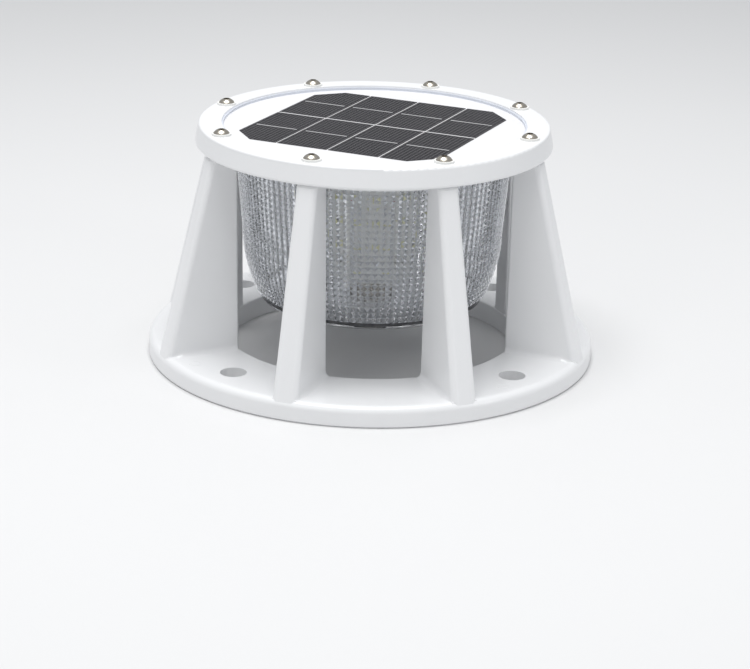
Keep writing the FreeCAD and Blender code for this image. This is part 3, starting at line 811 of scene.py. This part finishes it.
@dataclass(frozen=True)
class CastingMarks:
    """Faint round marks that the mould's pins left on the base."""

    pitch_r: float = 119.0
    angles: tuple[float, ...] = (-53.0, -147.0, 33.0, 127.0)
    mark_r: float = 3.5
    lip: float = 0.35
    rise: float = 0.12
    base_top: float = 12.0
    root_depth: float = 0.2
    steps: int = 48

    def build(self, material: bpy.types.Material) -> bpy.types.Object:
        """Makes the marks as raised rings.

        Args:
            material: Its finish.

        Returns:
            The marks.
        """
        bm = bmesh.new()
        inner, outer = self.mark_r - self.lip, self.mark_r
        low, high = self.base_top - self.root_depth, self.base_top + self.rise
        for angle in self.angles:
            one = spun([(inner, low), (outer, low), (outer, high), (inner, high)], self.steps)
            join_turned(bm, one, angle, self.pitch_r)
        return piece("casting_marks", bm, material, "root")


@dataclass(frozen=True)
class CoiledSpring:
    """Spring behind the push button, which stands for its plain node."""

    turns: float = 4.0
    wire_r: float = 0.35
    travel: float = 1.5
    steps_per_turn: int = 40
    sides: int = 12
    sharp_angle: float = 60.0

    def build(self, material: bpy.types.Material) -> bpy.types.Object:
        """Makes the coil.

        Args:
            material: Its finish.

        Returns:
            The coil.
        """
        low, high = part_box("button_spring")
        bottom, top = low.z / MM + self.wire_r, high.z / MM - self.wire_r
        mean_r = high.x / MM - self.wire_r
        count = round(self.turns * self.steps_per_turn)
        bm = bmesh.new()
        rings = []
        for step in range(count + 1):
            angle = math.tau * self.turns * step / count
            height = bottom + (top - bottom) * step / count
            rings.append(self.ring(bm, angle, height, mean_r))
        for first, second in zip(rings, rings[1:]):
            for side in range(self.sides):
                after = (side + 1) % self.sides
                bm.faces.new((first[side], first[after], second[after], second[side]))
        bm.faces.new(rings[0])
        bm.faces.new(rings[-1])
        bmesh.ops.recalc_face_normals(bm, faces=bm.faces)
        coil = piece("coiled_spring", bm, material, "root", self.sharp_angle)
        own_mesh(coil)
        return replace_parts(coil, "button_spring")

    def ring(
        self, bm: bmesh.types.BMesh, angle: float, height: float, mean_r: float
    ) -> list[bmesh.types.BMVert]:
        """One round section of the wire.

        Args:
            bm: The mesh that is added to.
            angle: How far round the coil it is, in radians.
            height: Height of its centre.
            mean_r: Radius of the coil.

        Returns:
            The section's corners.
        """
        corners = []
        for side in range(self.sides):
            turn = math.tau * side / self.sides
            radius = mean_r + self.wire_r * math.cos(turn)
            level = height + self.wire_r * math.sin(turn)
            place = (radius * math.cos(angle) * MM, radius * math.sin(angle) * MM, level * MM)
            corners.append(bm.verts.new(place))
        return corners


# ---- studio ---------------------------------------------------------------------------
@dataclass(frozen=True)
class ViewPoint:
    """Camera that looks down at the light from the front."""

    distance: float = 1.3232
    aim_height: float = 0.0728
    elevation: float = 16.982
    azimuth: float = 1.468
    pan: float = 0.121
    tilt: float = -2.660
    roll: float = 1.187
    lens: float = 109.14

    def build(self) -> None:
        """Makes the camera and makes it the scene's own."""
        pitch = math.radians(self.elevation)
        away = Vector((0.0, -math.cos(pitch), math.sin(pitch)))
        place = Vector((0.0, 0.0, self.aim_height)) + away * self.distance
        ahead, right = -away, Vector((1.0, 0.0, 0.0))
        up = right.cross(ahead)
        ahead, right = self.swing(ahead, right, self.pan)
        ahead, up = self.swing(ahead, up, self.tilt)
        right, up = self.swing(right, up, self.roll)
        turn = Matrix.Rotation(math.radians(-self.azimuth), 4, "Z")
        stance = Matrix((right, up, -ahead)).transposed().to_4x4()
        camera = bpy.data.cameras.new("view_camera")
        camera.lens = self.lens
        holder = bpy.data.objects.new("view_camera", camera)
        holder.matrix_world = turn @ Matrix.Translation(place) @ stance
        bpy.context.scene.collection.objects.link(holder)
        bpy.context.scene.camera = holder

    @staticmethod
    def swing(first: Vector, second: Vector, degrees: float) -> tuple[Vector, Vector]:
        """Turns two square directions in their own plane.

        Args:
            first: The direction that turns towards the second.
            second: The direction that turns away from the first.
            degrees: How far they turn.

        Returns:
            The turned directions.
        """
        angle = math.radians(degrees)
        return (first * math.cos(angle) + second * math.sin(angle),
                second * math.cos(angle) - first * math.sin(angle))


@dataclass(frozen=True)
class SoftBox:
    """A square lamp that points at the object."""

    name: str
    place: tuple[float, float, float]
    size: float
    power: float
    colour: Colour = (1.0, 1.0, 1.0)
    aim_height: float = 0.08

    def build(self) -> None:
        """Makes the lamp."""
        lamp = bpy.data.lights.new(self.name, "AREA")
        lamp.size = self.size
        lamp.energy = self.power
        lamp.color = self.colour
        holder = bpy.data.objects.new(self.name, lamp)
        holder.location = self.place
        aim = Vector((0.0, 0.0, self.aim_height)) - Vector(self.place)
        holder.rotation_euler = aim.to_track_quat("-Z", "Y").to_euler()
        bpy.context.scene.collection.objects.link(holder)


@dataclass(frozen=True)
class Studio:
    """Pale floor, pale surroundings and soft lamps."""

    floor_size: float = 14.0
    surround: Colour = (0.9, 0.92, 0.95)
    surround_strength: float = 0.58
    lamps: tuple[SoftBox, ...] = (
        SoftBox("top_lamp", (-0.1, -0.1, 1.6), 1.0, 22.0),
        SoftBox("front_lamp", (-0.9, -1.6, 0.9), 0.6, 2.4, (1.0, 0.97, 0.93)),
        SoftBox("side_lamp", (1.5, -0.9, 0.7), 0.4, 2.0),
    )

    def build(self) -> None:
        """Makes the floor, the surroundings and the lamps."""
        bm = bmesh.new()
        bmesh.ops.create_grid(bm, x_segments=1, y_segments=1, size=self.floor_size / 2)
        mesh = bpy.data.meshes.new("floor")
        bm.to_mesh(mesh)
        bm.free()
        finish = Finish("floor_paper", (0.72, 0.72, 0.72), (0.7, 0.7, 0.7), (0.7, 0.8), mottle=2.0)
        mesh.materials.append(finish.build())
        floor = bpy.data.objects.new("floor", mesh)
        bpy.context.scene.collection.objects.link(floor)
        for lamp in self.lamps:
            lamp.build()
        world = bpy.data.worlds.new("surroundings")
        world.use_nodes = True
        background = world.node_tree.nodes["Background"]
        background.inputs["Color"].default_value = rgba(self.surround)
        background.inputs["Strength"].default_value = self.surround_strength
        bpy.context.scene.world = world
        bpy.context.scene.view_settings.view_transform = "Standard"


def main() -> None:
    """Builds the camera, the studio and every piece in order."""
    logging.basicConfig(level=logging.INFO, format="%(name)s: %(message)s")
    ViewPoint().build()
    Studio().build()
    materials = dress_nodes()
    PrismBowl().build(materials["bowl_clear"])
    DomedScrews().build(materials["stainless"])
    ClearWindow().build(materials["panel_resin"])
    RowJoint().build(materials["backing_sheet"])
    CastingMarks().build(materials["white_coat"])
    CoiledSpring().build(materials["spring_wire"])


if __name__ == "__main__":
    main()
